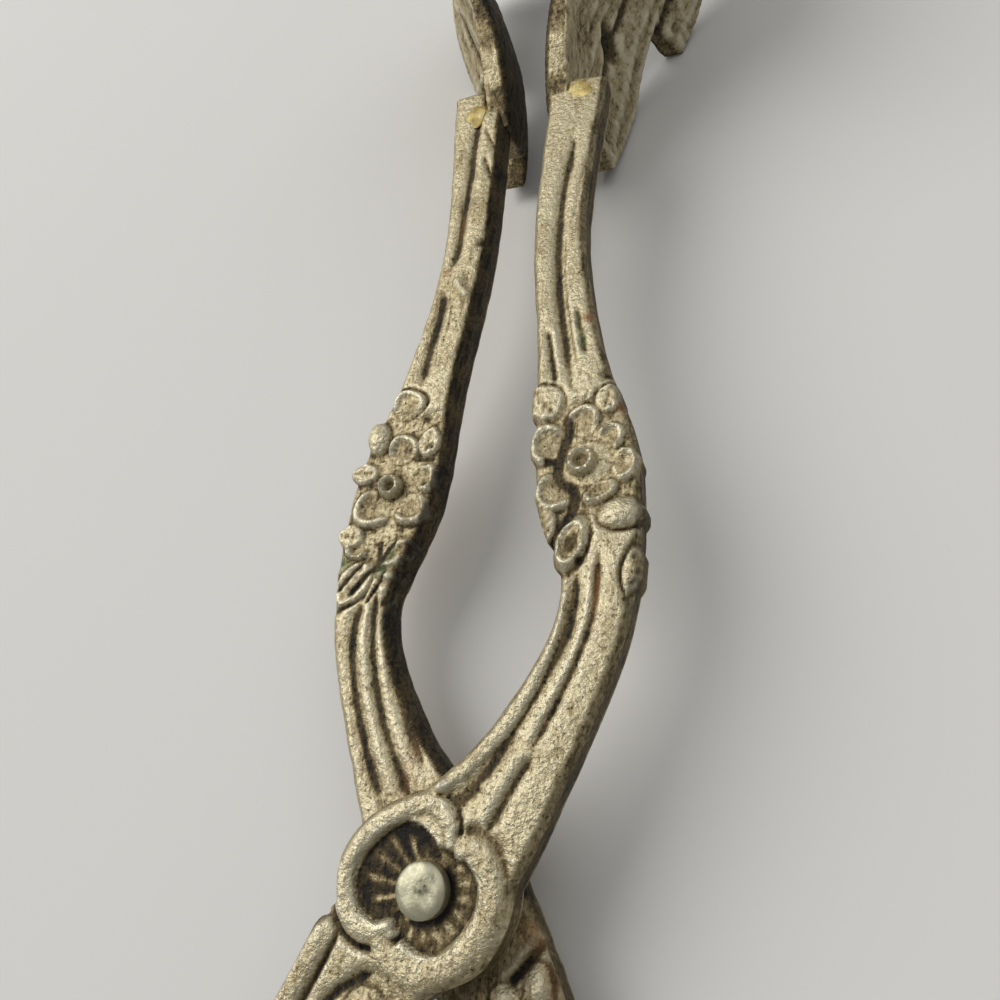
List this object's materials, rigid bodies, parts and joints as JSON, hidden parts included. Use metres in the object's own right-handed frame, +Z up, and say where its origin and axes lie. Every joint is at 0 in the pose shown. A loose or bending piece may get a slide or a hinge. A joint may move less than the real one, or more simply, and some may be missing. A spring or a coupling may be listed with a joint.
{
  "type": "sugar tongs",
  "caption": "Scissor-type serving tongs with reeded, flower-cast arms crossing at a rivet, oval finger bows and cupped pierced leaf grips.",
  "frame": {"origin": "on the table that the tongs lie on, under the middle of their box", "axes": "+Y from the finger bows towards the grips, +Z up from the table, +X towards the arm of the upper lever; the rivet's axis leans about 4.6 degrees from +Z because the grips are taller than the bows"},
  "size_m": [0.0542, 0.1694, 0.0278],
  "materials": {
    "cast_metal": "worn nickel-silver casting, bright on the crests, brown-black tarnish in the grooves",
    "braze_metal": "yellow brazing metal, satin",
    "rivet_metal": "pale worn rivet head, satin with a faint stain"
  },
  "bodies": {
    "back_half": {"back_lever": "cast_metal", "back_grip": "cast_metal", "back_braze": "braze_metal", "pivot_rivet": "rivet_metal"},
    "front_half": {"front_lever": "cast_metal", "front_grip": "cast_metal", "front_braze": "braze_metal"}
  },
  "joints": [
    {"name": "pivot", "type": "hinge", "parent": "back_half", "child": "front_half", "pos_m": [0, -0.03047, 0.00582], "axis": [0, 0.0806, -0.9967], "range_deg": [-1.5, 40]}
  ]
}
